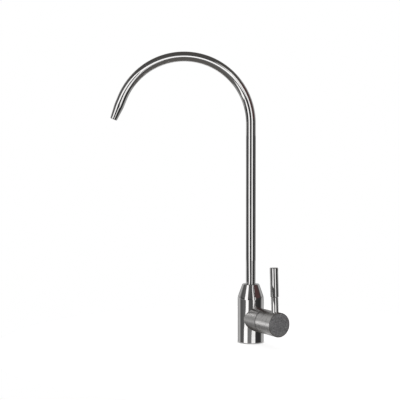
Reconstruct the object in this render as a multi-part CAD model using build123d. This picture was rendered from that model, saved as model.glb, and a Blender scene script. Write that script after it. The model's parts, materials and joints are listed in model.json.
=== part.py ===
from build123d import *
import os
from math import degrees, sqrt

# Drinking water filter tap: a column with a quarter-turn valve in a barrel on its side,
# and a swivelling swan-neck spout. Lengths are in millimetres and angles in degrees.
# The origin is the centre of the base face and +Z is up. +X runs along the valve barrel
# to the lever, and -Y is the side where the user stands.

# Fits, each side
running_gap = 0.05
seated_gap = 0.03
seal_gap = 0.02
end_play = 0.1
passing_gap = 0.3
cut_overrun = 1.0

# Column
body_radius = 13.5
body_height = 59.7
crown_height = 13.5
neck_radius = 8.8
shoulder_blend_radius = 10.0
base_chamfer = 0.9
neck_chamfer = 0.5

# Socket for an M12 x 1 shank, drawn at the thread's minor diameter
shank_thread_radius = 5.46
shank_thread_depth = 10.0

# Seal ring in the base face
base_ring_inset = 2.9
base_ring_section = 0.95

# Waterways inside the column
inlet_radius = 2.4
inlet_margin = 0.16
outlet_radius = 2.2
outlet_margin = 0.2

# Valve barrel
barrel_height = 24.7
barrel_radius = 12.05
boss_reach = 26.35
boss_wall = 3.05
thread_step = 0.7
thread_relief = 0.4
seam_width = 0.9
seam_chamfer = 0.2
seat_reach = 1.5

# Seat seal and ceramic discs
seat_seal_thickness = 2.0
seat_seal_width = 0.9
seat_seal_inset = 0.6
fixed_disc_thickness = 2.2
moving_disc_thickness = 2.0
port_inner_radius = 1.8
port_margin = 1.5
port_sweep = 80
disc_key_width = 2.3
disc_key_height = 0.8

# Cartridge housing
nose_standoff = 0.6
nose_gap = 0.9
nose_wall = 1.0
window_sweep = 80
window_margin = 0.3
flange_flat_cut = 0.6
flange_thickness = 2.4
housing_ring_section = 0.8

# Spindle
journal_radius = 3.2
drive_bar_width = 4.4
drive_bar_length = 3.0
drive_tongue_width = 2.2
drive_tongue_depth = 0.9
collar_gap = 0.5
collar_thickness = 1.0
thrust_washer_thickness = 0.7
thrust_washer_width = 0.75
spindle_ring_section = 0.56
spindle_ring_inset = 4.0
spindle_ring_pitch = 4.0
ring_side_gap = 0.15
square_corner_inset = 0.02

# Spring clip on the spindle
clip_thickness = 0.8
clip_groove_depth = 0.75
clip_width = 1.45
clip_slot = 1.6

# Stop of the quarter turn
lever_travel = 90
lever_lean = 1.9
lug_sweep = 40
stop_width = 1.6
stop_ring_thickness = 1.8
stop_rim_height = 1.5

# Ring in the seam
glide_collar_inset = 0.3
glide_wall = 0.55
glide_sleeve_length = 1.25

# Lever hub and its end disc
hub_length = 25.15
hub_wall = 1.1
hub_web_thickness = 2.0
hub_edge_chamfer = 0.35
cap_rim = 0.75
cap_thickness = 1.4
cap_inset = 0.1
cap_spigot_length = 1.5

# Hub screw, M3
screw_radius = 1.5
screw_length = 8.0
screw_hole_gap = 0.2
screw_tap_allowance = 0.8
screw_head_radius = 2.75
screw_head_height = 3.0
screw_pocket_gap = 0.25
screw_pocket_depth = 6.9
screw_key_across_flats = 2.5
screw_key_depth = 1.5

# Lever rod, its heights taken from the barrel's axis
rod_inset = 7.1
stem_radius = 3.6
stem_sink = 1.05
grip_radius = 4.13
grip_start_height = 26.6
rod_height = 55.5
rod_top_chamfer = 0.5
grip_step_chamfer = 0.5
step_groove_width = 0.6
step_groove_depth = 0.3
stud_radius = 2.5
stud_cover = 2.5

# Spout tube
tube_radius = 5.0
tube_wall = 0.8
bend_height = 223.4
bend_radius = 68.1
bend_sweep = 157.5
tip_straight_length = 10.6
tip_taper_length = 13.0
tip_radius = 3.6
tip_blend_radius = 40.0
tip_edge_chamfer = 0.2
spout_turn = 28.9

# Spout foot and the bore that it turns in
spout_bore_gap = 0.1
spout_bore_cover = 1.6
spout_lead_in = 0.25
foot_standoff = 0.4
foot_wall = 2.2
foot_land = 1.3
foot_spigot_length = 5.0
foot_ring_section = 0.64
foot_ring_inset = 1.5
foot_ring_pitch = 2.3
snap_pitch = 2.1
snap_thickness = 0.9
snap_groove_depth = 0.95
snap_proud = 0.6
snap_slot = 2.5
guide_length = 4.5
guide_wall = 1.15
guide_slot = 1.0

# Radii about the barrel, from the outside in
hub_bore_radius = barrel_radius - hub_wall
cap_seat_radius = barrel_radius - cap_rim
glide_collar_radius = barrel_radius - glide_collar_inset
flange_radius = hub_bore_radius - glide_wall - 2 * running_gap
housing_thread_radius = barrel_radius - boss_wall
chamber_radius = housing_thread_radius - thread_step
nose_radius = chamber_radius - nose_gap
disc_bore_radius = nose_radius - nose_wall
collar_radius = disc_bore_radius - collar_gap
port_outer_radius = disc_bore_radius - port_margin
seat_seal_outer_radius = disc_bore_radius - seat_seal_inset
clip_inner_radius = journal_radius - clip_groove_depth
clip_outer_radius = clip_inner_radius + clip_width
stop_inner_radius = clip_outer_radius + passing_gap
stop_ring_radius = stop_inner_radius + stop_width
square_side = sqrt(2) * (journal_radius - square_corner_inset)
screw_pocket_radius = screw_head_radius + screw_pocket_gap

# Radii and offsets in the column
base_ring_radius = body_radius - base_ring_inset
spout_bore_radius = tube_radius + spout_bore_gap
snap_inner_radius = tube_radius - snap_groove_depth
snap_outer_radius = tube_radius + snap_proud
guide_outer_radius = tube_radius + guide_wall
inlet_offset = shank_thread_radius - inlet_radius - inlet_margin
outlet_offset = spout_bore_radius - outlet_radius - outlet_margin

# Heights up the column
shoulder_height = body_height - crown_height
outlet_start = barrel_height + nose_radius
spout_bore_floor = barrel_height + chamber_radius + spout_bore_cover
foot_start = spout_bore_floor + foot_standoff
lower_ring_middle = foot_start + foot_ring_inset
upper_ring_middle = lower_ring_middle + foot_ring_pitch
snap_middle = upper_ring_middle + snap_pitch
foot_end = snap_middle + foot_land
guide_end = foot_end + guide_length

# Reaches along the barrel, from the column's axis outwards
nose_end = seat_reach + nose_standoff
seal_end = seat_reach + seat_seal_thickness
fixed_disc_end = seal_end + fixed_disc_thickness
moving_disc_end = fixed_disc_end + moving_disc_thickness
drive_bar_end = moving_disc_end + drive_bar_length
collar_end = drive_bar_end + collar_thickness
washer_end = collar_end + thrust_washer_thickness
inner_ring_middle = washer_end + spindle_ring_inset
outer_ring_middle = inner_ring_middle + spindle_ring_pitch
thread_start = body_radius + thread_relief
flange_end = boss_reach + flange_thickness
clip_start = flange_end + end_play
clip_end = clip_start + clip_thickness
rim_end = flange_end + stop_rim_height
journal_end = rim_end + passing_gap
stop_ring_end = journal_end + stop_ring_thickness
hub_start = boss_reach + seam_width
hub_end = hub_start + hub_length
cap_start = hub_end - cap_inset - cap_thickness
pocket_start = cap_start - screw_pocket_depth
web_start = pocket_start - hub_web_thickness
square_end = web_start - passing_gap
screw_end = pocket_start - screw_length
tapped_end = screw_end - screw_tap_allowance
rod_reach = hub_end - rod_inset

# Heights of the lever rod above the barrel's axis
stem_seat_height = barrel_radius - stem_sink
stud_end_height = screw_pocket_radius + stud_cover

# The lug and the open part of the rim, as angles about the barrel, counted from +Y to +Z
stop_gap_angle = degrees(passing_gap / stop_inner_radius)
lug_middle = 90 + lever_lean
rim_opening = lug_sweep + lever_travel + 2 * stop_gap_angle
rim_start = lug_middle + lug_sweep / 2 + lever_travel + stop_gap_angle

# Where a piece built about its own +Z goes on the barrel: its +X then points along +Y
barrel_place = Plane(origin=(0, 0, barrel_height), x_dir=(0, 1, 0), z_dir=(1, 0, 0)).location
barrel_axis = Axis((0, 0, barrel_height), (1, 0, 0))
bend_axis = Axis((0, -bend_radius, bend_height), (1, 0, 0))
upwards = (Align.CENTER, Align.CENTER, Align.MIN)
sideways = (Align.MIN, Align.CENTER, Align.MIN)


def outline(*corners):
    """A flat face from (radius, height) corners, ready to be turned about its height."""
    return make_face(Polyline(*corners, close=True))


def softened(face, corner, radius):
    """The face with the corner nearest to the given one rounded."""
    return fillet(face.vertices().sort_by_distance(corner)[0], radius)


def turned(face, sweep=360, start=0):
    """The solid that a face sweeps about +Z, from the start angle on."""
    standing = Rot(90, 0, 0) * face
    return Rot(0, 0, start) * revolve(standing, Axis.Z, sweep)


def drilled(radius, start, end):
    """A round plug along +Z from start to end, for a hole or a shaft."""
    return Pos(0, 0, start) * Cylinder(radius, end - start, align=upwards)


def ring_between(inner_radius, outer_radius, start, end, sweep=360, first=0):
    """A ring, or a sector of one, about +Z."""
    corners = ((inner_radius, start), (outer_radius, start), (outer_radius, end), (inner_radius, end))
    return turned(outline(*corners), sweep, first)


def seal_ring(bore_radius, section, middle):
    """A rubber ring that lies just inside a bore."""
    return Pos(0, 0, middle) * Torus(bore_radius - seal_gap - section, section)


def seal_groove(bore_radius, section, middle):
    """The room that a seal ring takes out of the shaft inside it."""
    root = bore_radius - 2 * section - 2 * seal_gap
    reach = section + ring_side_gap
    return ring_between(root, bore_radius + cut_overrun, middle - reach, middle + reach)


def slotted(ring, width, outer_radius, start, end):
    """A ring with a slot cut through one side, so that it can spring open."""
    length = end - start + 2 * cut_overrun
    block = Box(outer_radius + cut_overrun, width, length, align=sideways)
    return ring - Pos(0, 0, start - cut_overrun) * block


def on_lever(piece):
    """A piece of the lever, put on the barrel and leaned to the closed stop."""
    return (barrel_place * piece).rotate(barrel_axis, lever_lean)


def on_spout(piece):
    """A piece of the spout, turned to where the spout stands."""
    return Rot(0, 0, -spout_turn) * piece


def body():
    corners = (
        (0, 0),
        (body_radius - base_chamfer, 0),
        (body_radius, base_chamfer),
        (body_radius, shoulder_height),
        (neck_radius, body_height - neck_chamfer),
        (neck_radius - neck_chamfer, body_height),
        (0, body_height),
    )
    column = turned(softened(outline(*corners), (body_radius, shoulder_height), shoulder_blend_radius))

    # Shank socket and base ring groove
    column -= drilled(shank_thread_radius, -cut_overrun, shank_thread_depth)
    groove_reach = base_ring_section + ring_side_gap
    groove_depth = 2 * base_ring_section + seal_gap
    column -= ring_between(
        base_ring_radius - groove_reach, base_ring_radius + groove_reach, -cut_overrun, groove_depth
    )

    # Inlet up from the socket, its port to the valve seat, and the valve chamber
    riser = drilled(inlet_radius, shank_thread_depth - cut_overrun, barrel_height)
    riser += Pos(0, 0, barrel_height) * Sphere(inlet_radius)
    column -= Pos(-inlet_offset, 0, 0) * riser
    column -= barrel_place * drilled(inlet_radius, -inlet_offset, seat_reach + cut_overrun)
    column -= barrel_place * drilled(chamber_radius, seat_reach, body_radius + cut_overrun)

    # Outlet from the chamber to the spout bore, with its guide and snap grooves
    column -= Pos(outlet_offset, 0, 0) * drilled(outlet_radius, outlet_start, spout_bore_floor + cut_overrun)
    column -= drilled(spout_bore_radius, spout_bore_floor, body_height + cut_overrun)
    column -= turned(
        outline(
            (0, body_height),
            (spout_bore_radius + spout_lead_in, body_height),
            (spout_bore_radius, body_height - spout_lead_in),
            (0, body_height - spout_lead_in),
        )
    )
    column -= drilled(guide_outer_radius + running_gap, foot_end - running_gap, guide_end + running_gap)
    snap_reach = snap_thickness / 2 + ring_side_gap
    column -= drilled(snap_outer_radius + end_play, snap_middle - snap_reach, snap_middle + snap_reach)
    return column


def valve_boss():
    corners = (
        (0, 0),
        (barrel_radius, 0),
        (barrel_radius, boss_reach - seam_chamfer),
        (barrel_radius - seam_chamfer, boss_reach),
        (0, boss_reach),
    )
    boss = turned(outline(*corners))
    boss -= drilled(chamber_radius, -cut_overrun, thread_start + cut_overrun)
    boss -= drilled(housing_thread_radius, thread_start, boss_reach + cut_overrun)
    return barrel_place * boss - Cylinder(body_radius, body_height, align=upwards)


def base_o_ring():
    return Pos(0, 0, base_ring_section) * Torus(base_ring_radius, base_ring_section)


def cartridge_housing():
    thread_radius = housing_thread_radius - running_gap
    corners = (
        (disc_bore_radius, nose_end),
        (nose_radius, nose_end),
        (nose_radius, thread_start),
        (thread_radius, thread_start),
        (thread_radius, boss_reach),
        (flange_radius, boss_reach),
        (flange_radius, flange_end),
        (journal_radius + running_gap, flange_end),
        (journal_radius + running_gap, washer_end),
        (disc_bore_radius, washer_end),
    )
    housing = turned(outline(*corners))

    # Six flats for the spanner
    flats = RegularPolygon(flange_radius - flange_flat_cut, 6, major_radius=False)
    spanner = Pos(0, 0, boss_reach) * extrude(flats, flange_thickness)
    outside = ring_between(0, flange_radius + cut_overrun, boss_reach, flange_end)
    housing -= outside - spanner

    ring_middle = boss_reach - housing_ring_section - ring_side_gap
    housing -= seal_groove(housing_thread_radius, housing_ring_section, ring_middle)

    # Two windows beside the moving disc let the water out
    window_start = fixed_disc_end + window_margin
    window_end = drive_bar_end - window_margin
    for side in (0, 180):
        first = side - window_sweep / 2
        housing -= ring_between(
            disc_bore_radius - nose_wall,
            nose_radius + nose_wall,
            window_start,
            window_end,
            window_sweep,
            first,
        )

    # Slots for the keys of the fixed disc
    slot_width = disc_key_width + 2 * running_gap
    slot_end = fixed_disc_end + running_gap
    housing -= Pos(0, 0, nose_end - cut_overrun) * Box(
        slot_width, 2 * (nose_radius + cut_overrun), slot_end - nose_end + cut_overrun, align=upwards
    )

    # Raised rim that the stop ring's lug runs between
    rim_sweep = 360 - rim_opening
    housing += ring_between(
        stop_inner_radius, stop_ring_radius, flange_end - nose_wall, rim_end, rim_sweep, rim_start
    )
    return barrel_place * housing


def housing_o_ring():
    middle = boss_reach - housing_ring_section - ring_side_gap
    return barrel_place * seal_ring(housing_thread_radius, housing_ring_section, middle)


def seat_seal():
    inner_radius = seat_seal_outer_radius - seat_seal_width
    return barrel_place * ring_between(inner_radius, seat_seal_outer_radius, seat_reach, seal_end)


def disc_ports(first, start, end):
    """The two openings of a ceramic disc, opposite each other."""
    ports = [
        ring_between(
            port_inner_radius,
            port_outer_radius,
            start - cut_overrun,
            end + cut_overrun,
            port_sweep,
            side - port_sweep / 2,
        )
        for side in (first, first + 180)
    ]
    return Part() + ports


def fixed_disc():
    radius = disc_bore_radius - running_gap
    disc = drilled(radius, seal_end, fixed_disc_end)
    keys = Pos(0, 0, seal_end) * Box(
        disc_key_width, 2 * (radius + disc_key_height), fixed_disc_thickness, align=upwards
    )
    return barrel_place * (disc + keys - disc_ports(0, seal_end, fixed_disc_end))


def moving_disc():
    disc = drilled(disc_bore_radius - passing_gap, fixed_disc_end, moving_disc_end)
    disc -= disc_ports(90, fixed_disc_end, moving_disc_end)
    groove_depth = drive_tongue_depth + end_play
    groove = Pos(0, 0, moving_disc_end - groove_depth) * Box(
        2 * disc_bore_radius,
        drive_tongue_width + 2 * running_gap,
        groove_depth + cut_overrun,
        align=upwards,
    )
    return on_lever(disc - groove)


def spindle():
    bar = Pos(0, 0, moving_disc_end) * Box(
        2 * collar_radius, drive_bar_width, drive_bar_length, align=upwards
    )
    tongue = Pos(0, 0, moving_disc_end - drive_tongue_depth) * Box(
        2 * collar_radius, drive_tongue_width, drive_tongue_depth, align=upwards
    )
    drive = (bar + tongue) & drilled(collar_radius, fixed_disc_end, drive_bar_end)
    shaft = drive + drilled(collar_radius, drive_bar_end, collar_end)
    shaft += drilled(journal_radius, collar_end, journal_end)
    square_length = square_end - journal_end
    shaft += Pos(0, 0, journal_end) * Box(square_side, square_side, square_length, align=upwards)
    for middle in (inner_ring_middle, outer_ring_middle):
        shaft -= seal_groove(journal_radius + running_gap, spindle_ring_section, middle)
    shaft -= ring_between(
        clip_inner_radius - running_gap,
        journal_radius + cut_overrun,
        clip_start - running_gap,
        clip_end + running_gap,
    )
    shaft -= drilled(screw_radius + seated_gap, tapped_end, square_end + cut_overrun)
    return on_lever(shaft)


def thrust_washer():
    outer_radius = disc_bore_radius - passing_gap
    inner_radius = outer_radius - thrust_washer_width
    return on_lever(ring_between(inner_radius, outer_radius, collar_end, washer_end))


def spindle_o_ring(middle):
    return on_lever(seal_ring(journal_radius + running_gap, spindle_ring_section, middle))


def spindle_clip():
    ring = ring_between(clip_inner_radius, clip_outer_radius, clip_start, clip_end)
    return on_lever(slotted(ring, clip_slot, clip_outer_radius, clip_start, clip_end))


def stop_ring():
    ring = drilled(stop_ring_radius, journal_end, stop_ring_end)
    side = square_side + 2 * running_gap
    ring -= Pos(0, 0, journal_end - cut_overrun) * Box(
        side, side, stop_ring_thickness + 2 * cut_overrun, align=upwards
    )
    lug_start = flange_end + passing_gap
    first = lug_middle - lever_lean - lug_sweep / 2
    ring += ring_between(stop_inner_radius, stop_ring_radius, lug_start, stop_ring_end, lug_sweep, first)
    return on_lever(ring)


def hub_glide_ring():
    inner_radius = flange_radius + running_gap
    sleeve_radius = hub_bore_radius - running_gap
    shoulder = hub_start - end_play
    sleeve_end = shoulder + glide_sleeve_length
    corners = (
        (inner_radius, boss_reach),
        (glide_collar_radius, boss_reach),
        (glide_collar_radius, shoulder),
        (sleeve_radius, shoulder),
        (sleeve_radius, sleeve_end),
        (inner_radius, sleeve_end),
    )
    return barrel_place * turned(outline(*corners))


def lever_hub():
    corners = (
        (0, stop_ring_end),
        (hub_bore_radius, stop_ring_end),
        (hub_bore_radius, hub_start),
        (barrel_radius - seam_chamfer, hub_start),
        (barrel_radius, hub_start + seam_chamfer),
        (barrel_radius, hub_end - hub_edge_chamfer),
        (barrel_radius - hub_edge_chamfer, hub_end),
        (cap_seat_radius, hub_end),
        (cap_seat_radius, cap_start),
        (screw_pocket_radius, cap_start),
        (screw_pocket_radius, pocket_start),
        (0, pocket_start),
    )
    hub = turned(outline(*corners))
    hub -= drilled(screw_radius + screw_hole_gap, web_start - cut_overrun, pocket_start + cut_overrun)
    side = square_side + 2 * running_gap
    socket_length = web_start - stop_ring_end
    hub -= Pos(0, 0, stop_ring_end - cut_overrun) * Box(
        side, side, socket_length + cut_overrun, align=upwards
    )
    rod_holes = drilled(stem_radius + seated_gap, stem_seat_height, barrel_radius + cut_overrun)
    stud_floor = stud_end_height - passing_gap
    rod_holes += drilled(stud_radius + seated_gap, stud_floor, stem_seat_height + cut_overrun)
    hub -= Pos(0, 0, rod_reach) * Rot(-90, 0, 0) * rod_holes
    return on_lever(hub)


def hub_screw():
    head_end = pocket_start + screw_head_height
    screw = drilled(screw_head_radius, pocket_start, head_end)
    screw += drilled(screw_radius, screw_end, pocket_start)
    hexagon = RegularPolygon(screw_key_across_flats / 2, 6, major_radius=False)
    key = extrude(hexagon, screw_key_depth + cut_overrun)
    screw -= Pos(0, 0, head_end - screw_key_depth) * key
    return on_lever(screw)


def hub_cap():
    disc = drilled(cap_seat_radius - seated_gap, cap_start, cap_start + cap_thickness)
    spigot = drilled(screw_pocket_radius - seated_gap, cap_start - cap_spigot_length, cap_start)
    return on_lever(disc + spigot)


def lever_rod():
    groove_start = grip_start_height - step_groove_width
    corners = (
        (0, stud_end_height),
        (stud_radius, stud_end_height),
        (stud_radius, stem_seat_height),
        (stem_radius, stem_seat_height),
        (stem_radius, groove_start),
        (stem_radius - step_groove_depth, groove_start),
        (stem_radius - step_groove_depth, grip_start_height),
        (grip_radius - grip_step_chamfer, grip_start_height),
        (grip_radius, grip_start_height + grip_step_chamfer),
        (grip_radius, rod_height - rod_top_chamfer),
        (grip_radius - rod_top_chamfer, rod_height),
        (0, rod_height),
    )
    return on_lever(Pos(0, 0, rod_reach) * Rot(-90, 0, 0) * turned(outline(*corners)))


def spout_tube():
    section = Circle(tube_radius) - Circle(tube_radius - tube_wall)
    straight = extrude(Pos(0, 0, foot_end) * section, bend_height - foot_end)
    bend = revolve(Pos(0, 0, bend_height) * section, bend_axis, bend_sweep)

    tip_length = tip_straight_length + tip_taper_length
    corners = (
        (tube_radius - tube_wall, 0),
        (tube_radius, 0),
        (tube_radius, tip_straight_length),
        (tip_radius, tip_length - tip_edge_chamfer),
        (tip_radius - tip_edge_chamfer, tip_length),
        (tip_radius - tube_wall, tip_length),
        (tube_radius - tube_wall, tip_straight_length),
    )
    profile = outline(*corners)
    profile = softened(profile, (tube_radius, tip_straight_length), tip_blend_radius)
    profile = softened(profile, (tube_radius - tube_wall, tip_straight_length), tip_blend_radius)
    tip = (Pos(0, 0, bend_height) * turned(profile)).rotate(bend_axis, bend_sweep)
    return on_spout(straight + bend + tip)


def spout_foot():
    radius = tube_radius - running_gap
    foot = drilled(radius, foot_start, foot_end)
    foot += drilled(tube_radius - tube_wall - seated_gap, foot_end, foot_end + foot_spigot_length)
    bore = tube_radius - foot_wall
    foot -= drilled(bore, foot_start - cut_overrun, foot_end + foot_spigot_length + cut_overrun)
    for middle in (lower_ring_middle, upper_ring_middle):
        foot -= seal_groove(spout_bore_radius, foot_ring_section, middle)
    snap_reach = snap_thickness / 2 + running_gap
    foot -= ring_between(
        snap_inner_radius - running_gap,
        radius + cut_overrun,
        snap_middle - snap_reach,
        snap_middle + snap_reach,
    )
    return on_spout(foot)


def spout_o_ring(middle):
    return on_spout(seal_ring(spout_bore_radius, foot_ring_section, middle))


def spout_snap_ring():
    start = snap_middle - snap_thickness / 2
    end = snap_middle + snap_thickness / 2
    ring = ring_between(snap_inner_radius, snap_outer_radius, start, end)
    return on_spout(slotted(ring, snap_slot, snap_outer_radius, start, end))


def spout_guide_ring():
    ring = ring_between(tube_radius + running_gap, guide_outer_radius, foot_end, guide_end)
    return slotted(ring, guide_slot, guide_outer_radius, foot_end, guide_end)


nodes = {
    "body": body(),
    "valve_boss": valve_boss(),
    "base_o_ring": base_o_ring(),
    "cartridge_housing": cartridge_housing(),
    "housing_o_ring": housing_o_ring(),
    "seat_seal": seat_seal(),
    "fixed_disc": fixed_disc(),
    "moving_disc": moving_disc(),
    "spindle": spindle(),
    "thrust_washer": thrust_washer(),
    "spindle_o_ring_inner": spindle_o_ring(inner_ring_middle),
    "spindle_o_ring_outer": spindle_o_ring(outer_ring_middle),
    "spindle_clip": spindle_clip(),
    "stop_ring": stop_ring(),
    "hub_glide_ring": hub_glide_ring(),
    "lever_hub": lever_hub(),
    "hub_screw": hub_screw(),
    "hub_cap": hub_cap(),
    "lever_rod": lever_rod(),
    "spout_tube": spout_tube(),
    "spout_foot": spout_foot(),
    "spout_o_ring_lower": spout_o_ring(lower_ring_middle),
    "spout_o_ring_upper": spout_o_ring(upper_ring_middle),
    "spout_snap_ring": spout_snap_ring(),
    "spout_guide_ring": spout_guide_ring(),
}

os.makedirs("parts", exist_ok=True)
for name, node in nodes.items():
    export_step(node, f"parts/{name}.step")
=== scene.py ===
"""The looks of a drinking water filter tap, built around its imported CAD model."""
import json
import logging
import math
from dataclasses import dataclass
from enum import Enum
from typing import NamedTuple, Sequence

import bmesh
import bpy
from mathutils import Matrix, Vector


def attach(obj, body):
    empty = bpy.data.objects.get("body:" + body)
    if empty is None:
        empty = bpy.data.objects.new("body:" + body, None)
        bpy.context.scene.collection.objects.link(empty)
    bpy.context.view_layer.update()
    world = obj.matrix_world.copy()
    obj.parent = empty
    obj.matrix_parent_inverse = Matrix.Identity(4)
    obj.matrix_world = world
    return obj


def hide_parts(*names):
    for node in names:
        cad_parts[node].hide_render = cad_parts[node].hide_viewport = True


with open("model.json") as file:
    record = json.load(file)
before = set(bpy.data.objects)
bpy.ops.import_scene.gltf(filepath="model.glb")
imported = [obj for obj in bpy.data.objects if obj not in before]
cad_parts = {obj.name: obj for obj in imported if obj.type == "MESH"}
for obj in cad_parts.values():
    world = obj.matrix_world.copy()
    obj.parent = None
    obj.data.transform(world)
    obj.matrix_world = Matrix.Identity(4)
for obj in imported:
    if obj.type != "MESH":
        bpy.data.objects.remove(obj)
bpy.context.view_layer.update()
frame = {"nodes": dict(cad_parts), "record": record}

log = logging.getLogger("filter_tap")

MM = 0.001
MERGE_DISTANCE = 1e-7
RING_TOLERANCE = 1e-6
SHARP_ANGLE = math.radians(32.0)
FULL_TURN = 2.0 * math.pi
TURN_STEPS = 144
WIDE_ROUNDING = 1.0
WIDE_SEGMENTS = 10
EDGE_SEGMENTS = 4
NOISE_LOW = 0.3
NOISE_HIGH = 0.7

Colour = tuple[float, float, float]
Point = tuple[float, float, float]

WHITE: Colour = (1.0, 1.0, 1.0)
EVEN: Point = (1.0, 1.0, 1.0)


class Body(Enum):
    """The moving bodies of the tap."""

    TAP = "tap_body"
    LEVER = "lever"
    SPOUT = "spout"


class Slot(Enum):
    """The record's material slots."""

    POLISHED = "polished_steel"
    BRUSHED = "brushed_steel"
    CAP = "cap_steel"
    SPRING = "spring_steel"
    BRASS = "brass"
    CERAMIC = "ceramic"
    RUBBER = "seal_rubber"
    BLACK_PLASTIC = "black_plastic"
    WHITE_PLASTIC = "white_plastic"


class Corner(NamedTuple):
    """One corner of a turned outline, in millimetres, and how far it is rounded back."""

    radius: float
    height: float
    soften: float = 0.0


class Stop(NamedTuple):
    """One stop of a colour band."""

    place: float
    colour: Colour


def grey(level: float) -> Colour:
    """The neutral colour of that level."""
    return (level, level, level)


class Sheet:
    """The node tree of one material or world, with short calls to add and join nodes."""

    def __init__(self, tree: bpy.types.NodeTree) -> None:
        """Takes over the tree and empties it.

        Args:
            tree: The node tree to build in.
        """
        self.tree = tree
        self.tree.nodes.clear()

    def add(self, kind: str, **values: object) -> bpy.types.Node:
        """Adds a node.

        Args:
            kind: The node's type without its "ShaderNode" prefix.
            values: Settings of the node, or values of its inputs, by name with underscores.

        Returns:
            The new node.
        """
        node = self.tree.nodes.new("ShaderNode" + kind)
        for name, value in values.items():
            title = name.replace("_", " ").title()
            if hasattr(node, name):
                setattr(node, name, value)
            elif isinstance(value, bpy.types.NodeSocket):
                self.tree.links.new(value, node.inputs[title])
            else:
                node.inputs[title].default_value = value
        return node

    def math(self, operation: str, *terms: object) -> bpy.types.NodeSocket:
        """Works out one sum.

        Args:
            operation: The Math node's operation.
            terms: Numbers or sockets, in the node's order.

        Returns:
            The result's socket.
        """
        node = self.add("Math", operation=operation)
        for socket, term in zip(node.inputs, terms):
            if isinstance(term, bpy.types.NodeSocket):
                self.tree.links.new(term, socket)
            else:
                socket.default_value = term
        return node.outputs[0]

    def band(self, factor: bpy.types.NodeSocket, stops: Sequence[Stop]) -> bpy.types.NodeSocket:
        """A colour band.

        Args:
            factor: The socket that is looked up.
            stops: The band's stops, from the lowest place up.

        Returns:
            The colour's socket.
        """
        node = self.add("ValToRGB")
        elements = node.color_ramp.elements
        while len(elements) < len(stops):
            elements.new(1.0)
        for element, stop in zip(elements, stops):
            element.position = stop.place
            element.color = (*stop.colour, 1.0)
        self.tree.links.new(factor, node.inputs[0])
        return node.outputs[0]

    def spread(self, factor: bpy.types.NodeSocket, low: float, high: float) -> bpy.types.NodeSocket:
        """Spreads a factor of the range that noise gives over low to high."""
        node = self.add(
            "MapRange", Value=factor, From_Min=NOISE_LOW, From_Max=NOISE_HIGH, To_Min=low, To_Max=high
        )
        return node.outputs[0]

    def noise(self, stretch: Point, scale: float, detail: float = 3.0) -> bpy.types.NodeSocket:
        """Noise in the piece's own place.

        Args:
            stretch: How much finer the noise is along each axis.
            scale: Its fineness, per metre.
            detail: How many finer layers it has.

        Returns:
            The noise's socket.
        """
        place = self.add("TexCoord").outputs["Object"]
        mapped = self.add("Mapping", Vector=place, Scale=stretch).outputs[0]
        return self.add("TexNoise", Vector=mapped, Scale=scale, Detail=detail).outputs[0]


def new_material(name: str) -> tuple[bpy.types.Material, Sheet]:
    """A new material and its emptied node sheet."""
    material = bpy.data.materials.new(name)
    material.use_nodes = True
    return material, Sheet(material.node_tree)


def glowing_material(name: str, colour: Colour, level: float) -> bpy.types.Material:
    """A material that glows evenly.

    Args:
        name: The material's name.
        colour: The colour of its glow.
        level: How bright it is.

    Returns:
        The material.
    """
    material, sheet = new_material(name)
    glow = sheet.add("Emission", Color=(*colour, 1), Strength=level)
    sheet.add("OutputMaterial", Surface=glow.outputs[0])
    return material


def point_at(thing: bpy.types.Object, place: Point, aim: Point) -> None:
    """Puts a camera or a lamp in its place, turned to its aim.

    Args:
        thing: The camera or lamp.
        place: Where it stands.
        aim: What it looks at.
    """
    gaze = Vector(aim) - Vector(place)
    thing.location = place
    thing.rotation_euler = gaze.to_track_quat("-Z", "Y").to_euler()
    bpy.context.scene.collection.objects.link(thing)


class Finish:
    """What every finish has: a name, and a method that makes its material."""

    name: str

    def make(self) -> bpy.types.Material:
        """Makes the material; each finish has its own."""
        raise NotImplementedError


@dataclass(frozen=True)
class TurnedMetal(Finish):
    """A metal with fine tool or brush lines, cloudy shade and a slightly uneven shine."""

    name: str
    light: Colour
    dark: Colour
    roughness: tuple[float, float]
    grain_stretch: Point
    grain_scale: float
    grain_depth: float = 0.0
    cloud_scale: float = 90.0
    cloud_share: float = 0.55
    cloud_detail: float = 4.0
    grain_detail: float = 2.0
    shade_places: tuple[float, float] = (0.36, 0.64)

    def make(self) -> bpy.types.Material:
        """Builds the metal.

        Returns:
            The material.
        """
        material, sheet = new_material(self.name)
        cloud = sheet.noise(EVEN, self.cloud_scale, self.cloud_detail)
        grain = sheet.noise(self.grain_stretch, self.grain_scale, self.grain_detail)
        clouded = sheet.math("MULTIPLY", cloud, self.cloud_share)
        mixed = sheet.math("MULTIPLY_ADD", grain, 1.0 - self.cloud_share, clouded)
        dark_place, light_place = self.shade_places
        colour = sheet.band(mixed, [Stop(dark_place, self.dark), Stop(light_place, self.light)])
        shine = sheet.spread(mixed, *self.roughness)
        shader = sheet.add("BsdfPrincipled", Base_Color=colour, Roughness=shine, Metallic=1.0)
        if self.grain_depth:
            bump = sheet.add("Bump", Height=grain, Strength=1.0, Distance=self.grain_depth * MM)
            sheet.tree.links.new(bump.outputs[0], shader.inputs["Normal"])
        sheet.add("OutputMaterial", Surface=shader.outputs[0])
        return material


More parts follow.
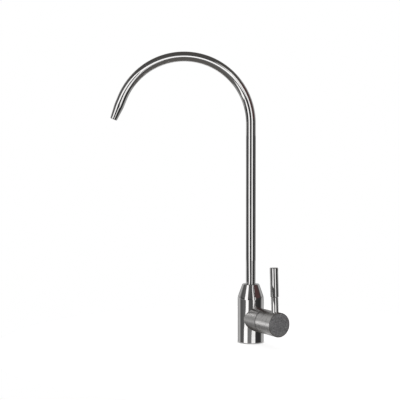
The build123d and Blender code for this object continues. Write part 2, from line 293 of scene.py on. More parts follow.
@dataclass(frozen=True)
class MouldedFinish(Finish):
    """Rubber, plastic or ceramic: a dull coloured body with fine pores and faint cloudiness."""

    name: str
    light: Colour
    dark: Colour
    roughness: tuple[float, float]
    pore_scale: float = 2500.0
    pore_depth: float = 0.01
    pore_detail: float = 2.0
    pore_strength: float = 0.4
    cloud_scale: float = 300.0
    shade_places: tuple[float, float] = (0.35, 0.65)

    def make(self) -> bpy.types.Material:
        """Builds the finish.

        Returns:
            The material.
        """
        material, sheet = new_material(self.name)
        cloud = sheet.noise(EVEN, self.cloud_scale)
        pores = sheet.noise(EVEN, self.pore_scale, self.pore_detail)
        dark_place, light_place = self.shade_places
        colour = sheet.band(cloud, [Stop(dark_place, self.dark), Stop(light_place, self.light)])
        shine = sheet.spread(cloud, *self.roughness)
        shader = sheet.add("BsdfPrincipled", Base_Color=colour, Roughness=shine)
        bump = sheet.add("Bump", Height=pores, Strength=self.pore_strength, Distance=self.pore_depth * MM)
        sheet.tree.links.new(bump.outputs[0], shader.inputs["Normal"])
        sheet.add("OutputMaterial", Surface=shader.outputs[0])
        return material


FINISHES: dict[Slot, Finish] = {
    Slot.POLISHED: TurnedMetal(
        "polished_steel", light=(0.65, 0.645, 0.64), dark=(0.6, 0.59, 0.585), roughness=(0.03, 0.045),
        grain_stretch=(1.0, 1.0, 8.0), grain_scale=120.0,
    ),
    Slot.BRUSHED: TurnedMetal(
        "brushed_steel", light=(0.54, 0.53, 0.52), dark=(0.32, 0.315, 0.31), roughness=(0.25, 0.36),
        grain_stretch=(30.0, 1.0, 1.0), grain_scale=150.0, grain_depth=0.03, cloud_scale=300.0,
        cloud_share=0.25,
    ),
    Slot.CAP: TurnedMetal(
        "cap_steel", light=(0.86, 0.865, 0.88), dark=(0.36, 0.365, 0.38), roughness=(0.44, 0.58),
        grain_stretch=EVEN, grain_scale=1800.0, grain_depth=0.015, cloud_scale=700.0,
    ),
    Slot.SPRING: TurnedMetal(
        "spring_steel", light=(0.52, 0.51, 0.5), dark=(0.4, 0.39, 0.38), roughness=(0.22, 0.34),
        grain_stretch=(1.0, 1.0, 8.0), grain_scale=500.0,
    ),
    Slot.BRASS: TurnedMetal(
        "brass", light=(0.8, 0.62, 0.32), dark=(0.66, 0.48, 0.22), roughness=(0.2, 0.34),
        grain_stretch=(10.0, 1.0, 1.0), grain_scale=260.0,
    ),
    Slot.CERAMIC: MouldedFinish("ceramic", (0.93, 0.92, 0.89), (0.86, 0.85, 0.81), (0.3, 0.42)),
    Slot.RUBBER: MouldedFinish("seal_rubber", (0.05, 0.05, 0.05), (0.025, 0.025, 0.027), (0.55, 0.75)),
    Slot.BLACK_PLASTIC: MouldedFinish("black_plastic", (0.04, 0.04, 0.042), (0.02, 0.02, 0.022), (0.4, 0.55)),
    Slot.WHITE_PLASTIC: MouldedFinish("white_plastic", (0.88, 0.87, 0.84), (0.8, 0.79, 0.75), (0.35, 0.5)),
}


class Paintbox:
    """Makes each finish once and hands it out."""

    def __init__(self) -> None:
        """Starts with nothing made."""
        self.made: dict[Slot, bpy.types.Material] = {}

    def get(self, slot: Slot) -> bpy.types.Material:
        """The material of a slot, made when it is first asked for."""
        if slot not in self.made:
            self.made[slot] = FINISHES[slot].make()
        return self.made[slot]

    def dress_cad_nodes(self) -> None:
        """Gives every carried-over CAD node the finish of its slot."""
        for part in frame["record"]["subparts"]:
            node = frame["nodes"][part["node"]]
            material = self.get(Slot(part["material_slot"]))
            node.data.materials.clear()
            node.data.materials.append(material)


class Workpiece:
    """A mesh in the making, in the row frame and in metres."""

    def __init__(self) -> None:
        """Starts an empty mesh."""
        self.mesh = bmesh.new()

    def turn(self, corners: Sequence[Corner], steps: int = TURN_STEPS) -> None:
        """Turns an outline about +Z and rounds its softened corners.

        Args:
            corners: The outline, from the axis out and back to it.
            steps: How many steps go round.
        """
        verts = [self.mesh.verts.new((c.radius * MM, 0.0, c.height * MM)) for c in corners]
        edges = [self.mesh.edges.new(pair) for pair in zip(verts, verts[1:])]
        bmesh.ops.spin(
            self.mesh, geom=verts + edges, cent=(0, 0, 0), axis=(0, 0, 1), angle=FULL_TURN, steps=steps,
            use_merge=True,
        )
        self.close_up()
        for corner in corners:
            if corner.soften:
                self.round_ring(corner)

    def close_up(self) -> None:
        """Merges doubles and points every face outwards."""
        bmesh.ops.remove_doubles(self.mesh, verts=self.mesh.verts[:], dist=MERGE_DISTANCE)
        bmesh.ops.recalc_face_normals(self.mesh, faces=self.mesh.faces[:])

    def round_ring(self, corner: Corner) -> None:
        """Rounds the ring of edges at a corner of the outline.

        Args:
            corner: The corner, whose soften is how far back the rounding starts.
        """
        ring = [
            edge for edge in self.mesh.edges
            if all(
                abs(math.hypot(v.co.x, v.co.y) - corner.radius * MM) < RING_TOLERANCE
                and abs(v.co.z - corner.height * MM) < RING_TOLERANCE
                for v in edge.verts
            )
        ]
        segments = WIDE_SEGMENTS if corner.soften > WIDE_ROUNDING else EDGE_SEGMENTS
        bmesh.ops.bevel(
            self.mesh, geom=ring, offset=corner.soften * MM, offset_type="OFFSET", affect="EDGES",
            segments=segments, profile=0.5, material=-1, clamp_overlap=True,
        )

    def place(self, matrix: Matrix) -> None:
        """Moves the whole mesh by a matrix."""
        bmesh.ops.transform(self.mesh, matrix=matrix, verts=self.mesh.verts[:])

    def deliver(self, name: str, body: Body, slot: Slot, paints: Paintbox, nodes: Sequence[str]) -> None:
        """Turns the mesh into a finished piece of the tap.

        Args:
            name: The piece's name.
            body: The body that it rides on.
            slot: The record's slot that it takes its finish from.
            paints: The box of finishes.
            nodes: The CAD nodes that it stands for.
        """
        data = bpy.data.meshes.new(name)
        for face in self.mesh.faces:
            face.smooth = True
        self.mesh.to_mesh(data)
        self.mesh.free()
        data.set_sharp_from_angle(angle=SHARP_ANGLE)
        data.materials.append(paints.get(slot))
        piece = bpy.data.objects.new(name, data)
        bpy.context.scene.collection.objects.link(piece)
        weighted = piece.modifiers.new("even_shading", "WEIGHTED_NORMAL")
        weighted.keep_sharp = True
        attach(piece, body.value)
        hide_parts(*nodes)
        log.info("%s: %d faces on %s", name, len(data.polygons), body.value)


@dataclass
class Barrel:
    """Where the valve barrel lies, and how its pieces are put there. Lengths are in millimetres."""

    height: float = 24.7
    radius: float = 12.05
    boss_reach: float = 26.35
    seam_width: float = 0.9
    seam_chamfer: float = 0.2
    lever_lean: float = 1.9

    def along(self) -> Matrix:
        """Takes a piece turned about +Z to the barrel's axis, pointing along +X."""
        return Matrix(((0, 0, 1, 0), (1, 0, 0, 0), (0, 1, 0, self.height * MM), (0, 0, 0, 1)))

    def leaned(self) -> Matrix:
        """Leans a piece of the lever to the closed stop."""
        centre = Matrix.Translation((0.0, 0.0, self.height * MM))
        return centre @ Matrix.Rotation(math.radians(self.lever_lean), 4, "X") @ centre.inverted()


@dataclass
class Column:
    """The polished column with its cone and the boss on its side."""

    barrel: Barrel
    radius: float = 13.5
    height: float = 59.7
    shoulder_height: float = 46.2
    shoulder_soften: float = 1.75
    neck_radius: float = 8.8
    neck_chamfer: float = 0.5
    base_chamfer: float = 0.9
    socket_radius: float = 5.46
    socket_depth: float = 10.0
    ring_groove: tuple[float, float, float] = (9.5, 11.7, 1.92)
    bore_radius: float = 5.1
    bore_lead_in: float = 0.25
    bore_floor: float = 34.6
    edge_soften: float = 0.12
    boss_start: float = 6.3

    def build_column(self, paints: Paintbox) -> None:
        """Turns the column, from the socket's floor round to the spout bore's floor.

        Args:
            paints: The box of finishes.
        """
        groove_in, groove_out, groove_depth = self.ring_groove
        soft = self.edge_soften
        piece = Workpiece()
        piece.turn(
            [
                Corner(0.0, self.socket_depth),
                Corner(self.socket_radius, self.socket_depth),
                Corner(self.socket_radius, 0.0),
                Corner(groove_in, 0.0),
                Corner(groove_in, groove_depth),
                Corner(groove_out, groove_depth),
                Corner(groove_out, 0.0),
                Corner(self.radius - self.base_chamfer, 0.0, soft),
                Corner(self.radius, self.base_chamfer, soft),
                Corner(self.radius, self.shoulder_height, self.shoulder_soften),
                Corner(self.neck_radius, self.height - self.neck_chamfer, soft),
                Corner(self.neck_radius - self.neck_chamfer, self.height, soft),
                Corner(self.bore_radius + self.bore_lead_in, self.height),
                Corner(self.bore_radius, self.height - self.bore_lead_in),
                Corner(self.bore_radius, self.bore_floor),
                Corner(0.0, self.bore_floor),
            ]
        )
        piece.deliver("column", Body.TAP, Slot.POLISHED, paints, ["body"])

    def build_boss(self, paints: Paintbox) -> None:
        """Turns the boss that carries the valve.

        Args:
            paints: The box of finishes.
        """
        barrel = self.barrel
        soft = self.edge_soften / 2
        piece = Workpiece()
        piece.turn(
            [
                Corner(0.0, self.boss_start),
                Corner(barrel.radius, self.boss_start),
                Corner(barrel.radius, barrel.boss_reach - barrel.seam_chamfer, soft),
                Corner(barrel.radius - barrel.seam_chamfer, barrel.boss_reach, soft),
                Corner(0.0, barrel.boss_reach),
            ]
        )
        piece.place(barrel.along())
        piece.deliver("valve_barrel", Body.TAP, Slot.BRUSHED, paints, ["valve_boss"])

    def build(self, paints: Paintbox) -> None:
        """Builds the column and its boss."""
        self.build_column(paints)
        self.build_boss(paints)


@dataclass
class Lever:
    """The hub, its end disc and the rod with its grip."""

    barrel: Barrel
    hub_length: float = 25.15
    hub_bore: float = 10.95
    hub_floor: float = 32.35
    edge_chamfer: float = 0.35
    cap_seat: float = 11.3
    cap_depth: float = 1.5
    cap_gap: float = 0.03
    cap_inset: float = 0.1
    spigot: tuple[float, float] = (2.97, 1.5)
    rod_inset: float = 7.1
    stud: tuple[float, float] = (2.5, 5.5)
    seat_height: float = 11.0
    stem_radius: float = 3.6
    groove: tuple[float, float] = (0.3, 0.6)
    grip_radius: float = 4.13
    grip_start: float = 26.6
    grip_chamfer: float = 0.5
    rod_height: float = 55.5
    rod_steps: int = 96
    edge_soften: float = 0.12

    @property
    def hub_start(self) -> float:
        """Where the hub starts along the barrel."""
        return self.barrel.boss_reach + self.barrel.seam_width

    @property
    def hub_end(self) -> float:
        """Where the hub ends along the barrel."""
        return self.hub_start + self.hub_length

    def build_hub(self, paints: Paintbox) -> None:
        """Turns the hub with its open back and the seat of its end disc.

        Args:
            paints: The box of finishes.
        """
        barrel = self.barrel
        soft = self.edge_soften / 2
        cap_start = self.hub_end - self.cap_depth
        piece = Workpiece()
        piece.turn(
            [
                Corner(0.0, self.hub_floor),
                Corner(self.hub_bore, self.hub_floor),
                Corner(self.hub_bore, self.hub_start),
                Corner(barrel.radius - barrel.seam_chamfer, self.hub_start, soft),
                Corner(barrel.radius, self.hub_start + barrel.seam_chamfer, soft),
                Corner(barrel.radius, self.hub_end - self.edge_chamfer, soft),
                Corner(barrel.radius - self.edge_chamfer, self.hub_end, soft / 2),
                Corner(self.cap_seat, self.hub_end),
                Corner(self.cap_seat, cap_start),
                Corner(0.0, cap_start),
            ]
        )
        piece.place(barrel.leaned() @ barrel.along())
        piece.deliver("lever_barrel", Body.LEVER, Slot.BRUSHED, paints, ["lever_hub"])

    def build_cap(self, paints: Paintbox) -> None:
        """Turns the end disc and its spigot.

        Args:
            paints: The box of finishes.
        """
        spigot_radius, spigot_length = self.spigot
        cap_radius = self.cap_seat - self.cap_gap
        cap_start = self.hub_end - self.cap_depth
        piece = Workpiece()
        piece.turn(
            [
                Corner(0.0, cap_start - spigot_length),
                Corner(spigot_radius, cap_start - spigot_length),
                Corner(spigot_radius, cap_start),
                Corner(cap_radius, cap_start),
                Corner(cap_radius, self.hub_end - self.cap_inset, self.edge_soften),
                Corner(0.0, self.hub_end - self.cap_inset),
            ]
        )
        piece.place(self.barrel.leaned() @ self.barrel.along())
        piece.deliver("end_disc", Body.LEVER, Slot.CAP, paints, ["hub_cap"])

    def build_rod(self, paints: Paintbox) -> None:
        """Turns the rod: stud, stem, relief groove and grip.

        Args:
            paints: The box of finishes.
        """
        stud_radius, stud_start = self.stud
        groove_depth, groove_width = self.groove
        groove_radius = self.stem_radius - groove_depth
        soft = self.edge_soften
        piece = Workpiece()
        piece.turn(
            [
                Corner(0.0, stud_start),
                Corner(stud_radius, stud_start),
                Corner(stud_radius, self.seat_height),
                Corner(self.stem_radius, self.seat_height),
                Corner(self.stem_radius, self.grip_start - groove_width),
                Corner(groove_radius, self.grip_start - groove_width),
                Corner(groove_radius, self.grip_start),
                Corner(self.grip_radius - self.grip_chamfer, self.grip_start),
                Corner(self.grip_radius, self.grip_start + self.grip_chamfer, soft),
                Corner(self.grip_radius, self.rod_height - self.grip_chamfer, soft),
                Corner(self.grip_radius - self.grip_chamfer, self.rod_height, soft),
                Corner(0.0, self.rod_height),
            ],
            steps=self.rod_steps,
        )
        base = Matrix.Translation(((self.hub_end - self.rod_inset) * MM, 0.0, self.barrel.height * MM))
        piece.place(self.barrel.leaned() @ base)
        piece.deliver("lever_handle", Body.LEVER, Slot.POLISHED, paints, ["lever_rod"])

    def build(self, paints: Paintbox) -> None:
        """Builds the hub, its end disc and the rod."""
        self.build_hub(paints)
        self.build_cap(paints)
        self.build_rod(paints)


@dataclass
class Spout:
    """The swan-neck tube, drawn out to a narrower tip."""

    radius: float = 5.0
    wall: float = 0.8
    start_height: float = 42.2
    bend_height: float = 223.4
    bend_radius: float = 68.1
    bend_sweep: float = 157.5
    tip_straight: float = 10.6
    tip_taper: float = 13.0
    tip_radius: float = 3.6
    tip_chamfer: float = 0.2
    turn: float = 28.9
    bore_shown: float = 20.0
    round_steps: int = 64
    bend_steps: int = 120
    taper_blend: tuple[tuple[float, float], ...] = (
        (-2.17, 0.0), (-1.1, 0.015), (0.0, 0.06), (1.1, 0.135), (2.15, 0.234)
    )

    def carry(self, piece: Workpiece, rim: list[bmesh.types.BMEdge], move: Vector, radius_ratio: float,
              centre: Vector) -> list[bmesh.types.BMEdge]:
        """Draws the open rim of the tube on.

        Args:
            piece: The tube.
            rim: The edges of its open rim.
            move: How far the rim moves.
            radius_ratio: How much its radius changes.
            centre: The rim's middle before the move.

        Returns:
            The edges of the new rim.
        """
        grown = bmesh.ops.extrude_edge_only(piece.mesh, edges=rim)["geom"]
        verts = [item for item in grown if isinstance(item, bmesh.types.BMVert)]
        edges = [item for item in grown if isinstance(item, bmesh.types.BMEdge)]
        bmesh.ops.scale(
            piece.mesh, vec=(radius_ratio,) * 3, space=Matrix.Translation(-centre), verts=verts
        )
        bmesh.ops.translate(piece.mesh, vec=move, verts=verts)
        return edges

    def build(self, paints: Paintbox) -> None:
        """Draws the tube up, round the bend and out to its tip, then back inside.

        Args:
            paints: The box of finishes.
        """
        piece = Workpiece()
        ring = bmesh.ops.create_circle(
            piece.mesh, segments=self.round_steps, radius=self.radius * MM,
            matrix=Matrix.Translation((0.0, 0.0, self.start_height * MM)),
        )["verts"]
        rim = [edge for edge in piece.mesh.edges if all(vert in ring for vert in edge.verts)]
        glow_past_painted_shadow = Vector((0.0, 0.0, (self.bend_height - self.start_height) * MM))
        rim = self.carry(piece, rim, glow_past_painted_shadow, 1.0, Vector((0.0, 0.0, self.start_height * MM)))

        pivot = Vector((0.0, -self.bend_radius * MM, self.bend_height * MM))
        sweep = math.radians(self.bend_sweep)
        verts = list({vert for edge in rim for vert in edge.verts})
        bend = bmesh.ops.spin(
            piece.mesh, geom=verts + rim, cent=pivot, axis=(1, 0, 0), angle=sweep, steps=self.bend_steps,
            use_merge=False,
        )["geom_last"]
        rim = [item for item in bend if isinstance(item, bmesh.types.BMEdge)]

        ahead = Vector((0.0, -math.sin(sweep), math.cos(sweep)))
        middle = pivot + Vector((0.0, math.cos(sweep), math.sin(sweep))) * self.bend_radius * MM
        stations = [
            (self.tip_straight + place, self.radius - (self.radius - self.tip_radius) * share)
            for place, share in self.taper_blend
        ]
        tip_length = self.tip_straight + self.tip_taper
        stations += [
            (tip_length - self.tip_chamfer, self.tip_radius),
            (tip_length, self.tip_radius - self.tip_chamfer),
            (tip_length, self.radius_inside),
            (tip_length - self.bore_shown, self.radius_inside),
        ]
        reach, radius = 0.0, self.radius
        for next_reach, next_radius in stations:
            move = ahead * (next_reach - reach) * MM
            rim = self.carry(piece, rim, move, next_radius / radius, middle)
            middle = middle + move
            reach, radius = next_reach, next_radius
        bmesh.ops.contextual_create(piece.mesh, geom=rim)
        piece.close_up()
        piece.place(Matrix.Rotation(math.radians(-self.turn), 4, "Z"))
        piece.deliver("spout_swan_neck", Body.SPOUT, Slot.POLISHED, paints, ["spout_tube"])

    @property
    def radius_inside(self) -> float:
        """The radius of the tip's opening."""
        return self.tip_radius - self.wall


class PanelRow(NamedTuple):
    """One height of a light panel, and the angles of its sides there, in degrees from the camera."""

    height: float
    left: float
    right: float


@dataclass(frozen=True)
class Panel:
    """A light panel on a round wall about the tap."""

    name: str
    distance: float
    level: float
    rows: tuple[PanelRow, ...]
    tint: Colour = (1.0, 1.0, 1.0)


@dataclass(frozen=True)
class Card:
    """A small flat light card between the camera and the tap, its corners given across the picture and up."""

    name: str
    depth: float
    level: float
    corners: tuple[tuple[float, float], ...]


class Cloth(NamedTuple):
    """A dark cloth above or below the room, and how far it reaches to the back."""

    name: str
    height: float
    reach: float
    level: float


@dataclass(frozen=True)
class SoftSpot:
    """A small soft lamp that lights one piece of the tap."""

    name: str
    piece: str
    place: Point
    aim: Point
    size: tuple[float, float]
    power: float


@dataclass
class Studio:
    """The pale table, the light panels, cards and dark cloths round it, the lamps and the white world."""

    camera_place: Point = (0.7627, -0.48, 0.1654)
    camera_aim: Point = (-0.02507, -0.04545, 0.14542)
    lens: float = 79.3
    sensor: float = 36.0
    view_reach: float = 50.0
    table_radius: float = 0.26
    table_glow: float = 0.8
    table_colour: float = 0.8
    pool_inner: float = 0.014
    pool_outer: float = 0.0175
    # Where the table's glow rises from nothing to full: a painted contact shadow, a darker ring round the
    # base.
    painted_shadow_inner: float = 0.0122
    painted_shadow_outer: float = 0.0145
    curtain_radius: float = 2.4
    curtain_low: float = -1.3
    curtain_high: float = 2.05
    curtain_slant: float = 0.06
    gap_angle: float = 14.0
    cloths: tuple[Cloth, ...] = (
        Cloth("ceiling_cloth", 2.05, 2.4, 0.1), Cloth("ground_cloth", -1.3, 1.5, 0.15)
    )
    cloth_tint: Colour = (1.0, 0.95, 0.9)
    round_segments: int = 96
    curtain_steps: int = 120
    panel_steps: int = 24
    lamp_height: float = 1.4
    lamp_size: float = 1.2
    lamp_power: float = 3.0
    fill_level: float = 0.5
    spots: tuple[SoftSpot, ...] = (
        SoftSpot(
            "hub_lamp", "lever_barrel", place=(-0.38, -0.29, -0.003), aim=(0.035, -0.012, 0.022),
            size=(0.12, 0.16), power=0.125,
        ),
        SoftSpot(
            "boss_lamp", "valve_barrel", place=(-0.395, -0.207, 0.228), aim=(0.02, -0.01, 0.031),
            size=(0.12, 0.12), power=0.058,
        ),
        SoftSpot(
            "boss_fill", "valve_barrel", place=(-0.38, -0.26, 0.0), aim=(0.02, -0.012, 0.022),
            size=(0.2, 0.2), power=0.045,
        ),
        SoftSpot(
            "hub_fill", "lever_barrel", place=(-0.395, -0.22, 0.2), aim=(0.035, -0.01, 0.031),
            size=(0.25, 0.25), power=0.06,
        ),
    )
    cards: tuple[Card, ...] = (
        Card(
            "crown_card", 0.12, 1.6,
            (
                (0.01, 0.314), (0.01, 0.2625), (-0.109, 0.2625), (-0.111, 0.275), (-0.131, 0.304),
                (-0.12, 0.316),
            ),
        ),
        Card(
            "arc_outer_card", 0.12, 1.5,
            (
                (-0.131, 0.304), (-0.149, 0.286), (-0.158, 0.277), (-0.2, 0.27), (-0.215, 0.3),
                (-0.215, 0.335), (-0.165, 0.336), (-0.14, 0.325), (-0.12, 0.316),
            ),
        ),
        Card(
            "arc_inner_card", 0.12, 1.4,
            ((-0.095, 0.2625), (-0.077, 0.234), (-0.095, 0.231), (-0.113, 0.24), (-0.109, 0.2625)),
        ),
        Card(
            "arc_flag", 0.12, 0.1,
            (
                (-0.15, 0.343), (-0.19, 0.35), (-0.215, 0.346), (-0.25, 0.332), (-0.3, 0.316), (-0.4, 0.318),
                (-0.4, 0.6), (-0.15, 0.6),
            ),
        ),
        Card("arc_inner_flag", 0.12, 0.07, ((-0.037, 0.235), (0.0, 0.235), (0.0, 0.15), (-0.037, 0.15))),
    )
    panels: tuple[Panel, ...] = (
        Panel(
            "left_panel", 2.3, 1.6,
            (
                PanelRow(1.98, -60, -31), PanelRow(1.2, -57, -30), PanelRow(0.5, -56, -29),
                PanelRow(0.1, -56, -28), PanelRow(-0.12, -52, -26), PanelRow(-0.22, -45, -21),
                PanelRow(-0.3, -46, -23), PanelRow(-0.37, -63, -31), PanelRow(-0.6, -70, -33),
            ),
        ),
        Panel(
            "right_panel", 2.3, 1.35,
            (
                PanelRow(1.98, 16, 36), PanelRow(1.2, 16, 39), PanelRow(0.6, 15, 43),
                PanelRow(0.1, 13, 42), PanelRow(-0.15, 15, 42), PanelRow(-0.3, 17, 37),
                PanelRow(-0.4, 4, 37), PanelRow(-0.6, -2, 35),
            ),
        ),
        Panel("dark_belt", 2.36, 0.05, (PanelRow(0.5, -98, 100), PanelRow(-0.215, -98, 100))),
        Panel("left_cloth", 2.35, 0.3, (PanelRow(0.33, -160, -105), PanelRow(-0.13, -160, -105))),
        Panel("right_cloth", 2.35, 0.22, (PanelRow(0.33, 107, 160), PanelRow(-0.13, 107, 160))),
        Panel("upper_left_cloth", 2.34, 0.1, (PanelRow(2.04, -120, -98), PanelRow(1.14, -120, -100))),
        Panel("left_shoulder_card", 0.09, 0.19, (PanelRow(0.052, -92, -52), PanelRow(0.035, -92, -52))),
        Panel("middle_shoulder_card", 0.09, 0.1, (PanelRow(0.052, -26, 14), PanelRow(0.035, -26, 14))),
        Panel("left_rim_card", 0.09, 0.6, (PanelRow(0.052, -157, -98), PanelRow(0.035, -157, -98))),
        Panel("right_rim_card", 0.09, 0.55, (PanelRow(0.052, 98, 157), PanelRow(0.035, 98, 157))),
        Panel("floor_glow", 2.36, 0.25, (PanelRow(-0.33, -32, 8), PanelRow(-0.7, -32, 8))),
        Panel("back_cloth", 2.35, 0.45, (PanelRow(2.04, 165, 195), PanelRow(0.25, 165, 195))),
        Panel("rear_cloth", 2.36, 0.25, (PanelRow(-0.5, 120, 240), PanelRow(-1.29, 120, 240))),
        Panel("brown_cloth", 2.32, 0.11, (PanelRow(2.0, 42, 98), PanelRow(0.5, 44, 92)), (1.0, 0.55, 0.55)),
    )
    curtain_levels: tuple[tuple[float, float], ...] = (
        (-180, 0.75), (-156, 0.72), (-152, 0.25), (-142, 0.25), (-138, 0.66), (-115, 0.62), (-109, 0.3),
        (-101, 0.2), (-92, 0.1), (-78, 0.15), (-57, 0.18), (-20, 0.16), (0, 0.1), (20, 0.12), (45, 0.05),
        (78, 0.035), (95, 0.06), (101, 0.2), (109, 0.55), (138, 0.66), (142, 0.25), (152, 0.25), (156, 0.72),
        (180, 0.75),
    )

    @property
    def camera_azimuth(self) -> float:
        """The direction from the tap to the camera, in the plane of the table."""
        along_x, along_y = (self.camera_place[axis] - self.camera_aim[axis] for axis in (0, 1))
        return math.atan2(along_y, along_x)

    def place_camera(self) -> None:
        """Sets the camera where the photograph was taken from."""
        data = bpy.data.cameras.new("camera")
        data.lens = self.lens
        data.sensor_width = self.sensor
        data.clip_end = self.view_reach
        camera = bpy.data.objects.new("camera", data)
        point_at(camera, self.camera_place, self.camera_aim)
        bpy.context.scene.camera = camera

    def seen_directly(self, sheet: Sheet) -> bpy.types.NodeSocket:
        """1 for rays from the camera, in a reflection or through glass, and 0 for others.

        Args:
            sheet: The sheet to add the nodes to.

        Returns:
            The result's socket.
        """
        path = sheet.add("LightPath")
        seen = sheet.math("MAXIMUM", path.outputs["Is Camera Ray"], path.outputs["Is Glossy Ray"])
        return sheet.math("MAXIMUM", seen, path.outputs["Is Transmission Ray"])

    def mix(self, sheet: Sheet, share: bpy.types.NodeSocket, first: bpy.types.Node, second: bpy.types.Node
            ) -> bpy.types.Node:
        """Mixes two shaders.

        Args:
            sheet: The sheet to add the node to.
            share: The second shader's share.
            first: The first shader's node.
            second: The second shader's node.

        Returns:
            The mixing node.
        """
        node = sheet.add("MixShader")
        for socket, source in zip(node.inputs, (share, first.outputs[0], second.outputs[0])):
            sheet.tree.links.new(source, socket)
        return node

    def white_world(self) -> None:
        """Shows white to the camera and to reflections, and a plain fill to everything else."""
        world = bpy.data.worlds.new("studio_white")
        world.use_nodes = True
        sheet = Sheet(world.node_tree)
        fill = sheet.add("Background", Color=(*WHITE, 1), Strength=self.fill_level)
        white = sheet.add("Background", Color=(*WHITE, 1), Strength=1.0)
        mixed = self.mix(sheet, self.seen_directly(sheet), fill, white)
        sheet.add("OutputWorld", Surface=mixed.outputs[0])
        bpy.context.scene.world = world

    def stand(self, name: str, mesh: bmesh.types.BMesh, material: bpy.types.Material) -> bpy.types.Object:
        """Sets a piece of the studio up.

        Args:
            name: The piece's name.
            mesh: Its mesh.
            material: Its material.

        Returns:
            The piece's object.
        """
        data = bpy.data.meshes.new(name)
        mesh.to_mesh(data)
        mesh.free()
        data.materials.append(material)
        piece = bpy.data.objects.new(name, data)
        bpy.context.scene.collection.objects.link(piece)
        return piece

    def lay_table(self) -> None:
        """Lays the round pale table, which in reflections fades out a little way from the tap. Close round
        the base its glow is faded out, which leaves a darker ring there: a painted contact shadow.
        """
        material, sheet = new_material("pale_table")
        seen = self.seen_directly(sheet)
        place = sheet.add("TexCoord").outputs["Object"]
        reach = sheet.add("VectorMath", operation="LENGTH")
        sheet.tree.links.new(place, reach.inputs[0])
        away = reach.outputs["Value"]
        # The glow is nothing close round the base and rises to full a little further out: a painted contact
        # shadow, a darker ring round the base, seen by the camera and in reflections.
        glow_past_painted_shadow = sheet.add(
            "MapRange", Value=away, From_Min=self.painted_shadow_inner, From_Max=self.painted_shadow_outer, To_Max=self.table_glow
        )
        strength = sheet.math("MULTIPLY", seen, glow_past_painted_shadow.outputs[0])
        glow = sheet.add("Emission", Color=(*WHITE, 1), Strength=strength)
        matt = sheet.add("BsdfDiffuse", Color=(*grey(self.table_colour), 1))
        pale = sheet.add("AddShader")
        sheet.tree.links.new(glow.outputs[0], pale.inputs[0])
        sheet.tree.links.new(matt.outputs[0], pale.inputs[1])
        fade = sheet.add("MapRange", Value=away, From_Min=self.pool_inner, From_Max=self.pool_outer)
        shiny = sheet.add("LightPath").outputs["Is Glossy Ray"]
        clear = sheet.add("BsdfTransparent")
        mixed = self.mix(sheet, sheet.math("MULTIPLY", fade.outputs[0], shiny), pale, clear)
        sheet.add("OutputMaterial", Surface=mixed.outputs[0])
        mesh = bmesh.new()
        bmesh.ops.create_circle(mesh, cap_ends=True, segments=self.round_segments, radius=self.table_radius)
        self.stand("table", mesh, material)

    def hang_curtain(self) -> None:
        """Hangs the curtain round the front and sides, unseen by the camera."""
        material, sheet = new_material("studio_curtain")
        place = sheet.add("TexCoord").outputs["Object"]
        turned = sheet.add("VectorRotate", rotation_type="Z_AXIS", Vector=place, Angle=-self.camera_azimuth)
        split = sheet.add("SeparateXYZ", Vector=turned.outputs[0])
        angle = sheet.math("ARCTAN2", split.outputs["Y"], split.outputs["X"])
        above = sheet.math("MULTIPLY_ADD", split.outputs["Z"], -self.curtain_slant, 1.0)
        along = sheet.math("MULTIPLY_ADD", sheet.math("MULTIPLY", angle, above), 1.0 / FULL_TURN, 0.5)
        stops = [Stop(0.5 + degrees / 360.0, grey(level)) for degrees, level in self.curtain_levels]
        glow = sheet.add("Emission", Color=sheet.band(along, stops), Strength=1.0)
        sheet.add("OutputMaterial", Surface=glow.outputs[0])

        mesh = bmesh.new()
        start_angle = self.camera_azimuth + math.pi + math.radians(self.gap_angle)
        first = Vector((math.cos(start_angle), math.sin(start_angle), 0.0)) * self.curtain_radius
        ends = [
            mesh.verts.new(first + Vector((0.0, 0.0, self.curtain_low))),
            mesh.verts.new(first + Vector((0.0, 0.0, self.curtain_high))),
        ]
        edge = mesh.edges.new(ends)
        bmesh.ops.spin(
            mesh, geom=ends + [edge], cent=(0, 0, 0), axis=(0, 0, 1),
            angle=FULL_TURN - 2.0 * math.radians(self.gap_angle), steps=self.curtain_steps,
        )
        self.stand("curtain", mesh, material).visible_camera = False

    def hang_light(self, name: str, mesh: bmesh.types.BMesh, material: bpy.types.Material) -> None:
        """Sets a light panel or card up, unseen by the camera and without a shadow.

        Args:
            name: The piece's name.
            mesh: Its mesh.
            material: Its material.
        """
        piece = self.stand(name, mesh, material)
        piece.visible_camera = False
        piece.visible_shadow = False

    def hang_panel(self, panel: Panel) -> None:
        """Hangs a light panel, unseen by the camera.

        Args:
            panel: The panel.
        """
        material = glowing_material(panel.name, panel.tint, panel.level)
        mesh = bmesh.new()
        steps = self.panel_steps
        rings = []
        for row in panel.rows:
            angles = [
                self.camera_azimuth + math.radians(row.left + (row.right - row.left) * step / steps)
                for step in range(steps + 1)
            ]
            rings.append([
                mesh.verts.new((panel.distance * math.cos(a), panel.distance * math.sin(a), row.height))
                for a in angles
            ])
        for upper, lower in zip(rings, rings[1:]):
            pairs = [pair for ring in (upper, lower) for pair in zip(ring, ring[1:])]
            edges = [mesh.edges.get(pair) or mesh.edges.new(pair) for pair in pairs]
            bmesh.ops.bridge_loops(mesh, edges=edges)
        self.hang_light(panel.name, mesh, material)

    def hang_card(self, card: Card) -> None:
        """Hangs a small light card before the spout, unseen by the camera.

        Args:
            card: The card.
        """
        material = glowing_material(card.name, WHITE, card.level)
        mesh = bmesh.new()
        turn = Matrix.Rotation(self.camera_azimuth, 4, "Z")
        mesh.faces.new([mesh.verts.new(turn @ Vector((card.depth, *corner))) for corner in card.corners])
        self.hang_light(card.name, mesh, material)

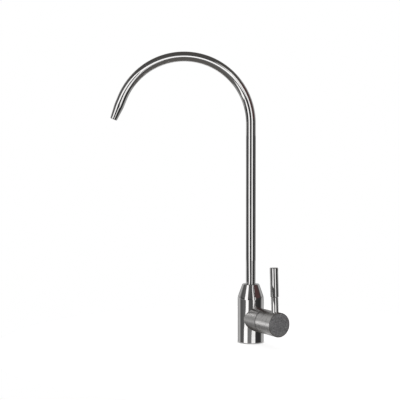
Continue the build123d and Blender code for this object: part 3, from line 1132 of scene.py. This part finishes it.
    def cover_room(self) -> None:
        """Closes the room above and below with dark cloth, open at the back, unseen by the camera."""
        towards = Vector((math.cos(self.camera_azimuth), math.sin(self.camera_azimuth), 0.0))
        for cloth in self.cloths:
            material = glowing_material(cloth.name, self.cloth_tint, cloth.level)
            mesh = bmesh.new()
            bmesh.ops.create_circle(
                mesh, cap_ends=True, segments=self.round_segments, radius=self.curtain_radius,
                matrix=Matrix.Translation((0.0, 0.0, cloth.height)),
            )
            bmesh.ops.bisect_plane(
                mesh, geom=mesh.verts[:] + mesh.edges[:] + mesh.faces[:], plane_co=-cloth.reach * towards,
                plane_no=-towards, clear_outer=True,
            )
            self.stand(cloth.name, mesh, material).visible_camera = False

    def hang_lamp(self) -> None:
        """Hangs a broad soft lamp over the table, which gives the tap its soft shadow."""
        data = bpy.data.lights.new("soft_lamp", "AREA")
        data.shape = "DISK"
        data.size = self.lamp_size
        data.energy = self.lamp_power
        lamp = bpy.data.objects.new("soft_lamp", data)
        lamp.location = (0.0, 0.0, self.lamp_height)
        lamp.visible_glossy = False
        bpy.context.scene.collection.objects.link(lamp)

    def light_piece(self, spot: SoftSpot) -> None:
        """Puts up a small soft lamp that lights only its own piece.

        Args:
            spot: The lamp.
        """
        data = bpy.data.lights.new(spot.name, "AREA")
        data.shape = "RECTANGLE"
        data.size, data.size_y = spot.size
        data.energy = spot.power
        lamp = bpy.data.objects.new(spot.name, data)
        point_at(lamp, spot.place, spot.aim)
        lit = bpy.data.collections.new("lit_by_" + spot.name)
        lit.objects.link(bpy.data.objects[spot.piece])
        lamp.light_linking.receiver_collection = lit

    def build(self) -> None:
        """Sets up the camera, the background, the table, the curtains and the broad lamp."""
        self.place_camera()
        self.white_world()
        self.lay_table()
        self.hang_curtain()
        for panel in self.panels:
            self.hang_panel(panel)
        for card in self.cards:
            self.hang_card(card)
        self.cover_room()
        self.hang_lamp()
        bpy.context.scene.view_settings.view_transform = "Standard"


def main() -> None:
    """Builds the studio and the tap, in order."""
    logging.basicConfig(level=logging.INFO, format="%(name)s: %(message)s")
    studio = Studio()
    studio.build()
    paints = Paintbox()
    paints.dress_cad_nodes()
    barrel = Barrel()
    for assembly in (Column(barrel), Lever(barrel), Spout()):
        assembly.build(paints)
        log.info("%s is built", type(assembly).__name__)
    for spot in studio.spots:
        studio.light_piece(spot)


if __name__ == "__main__":
    main()
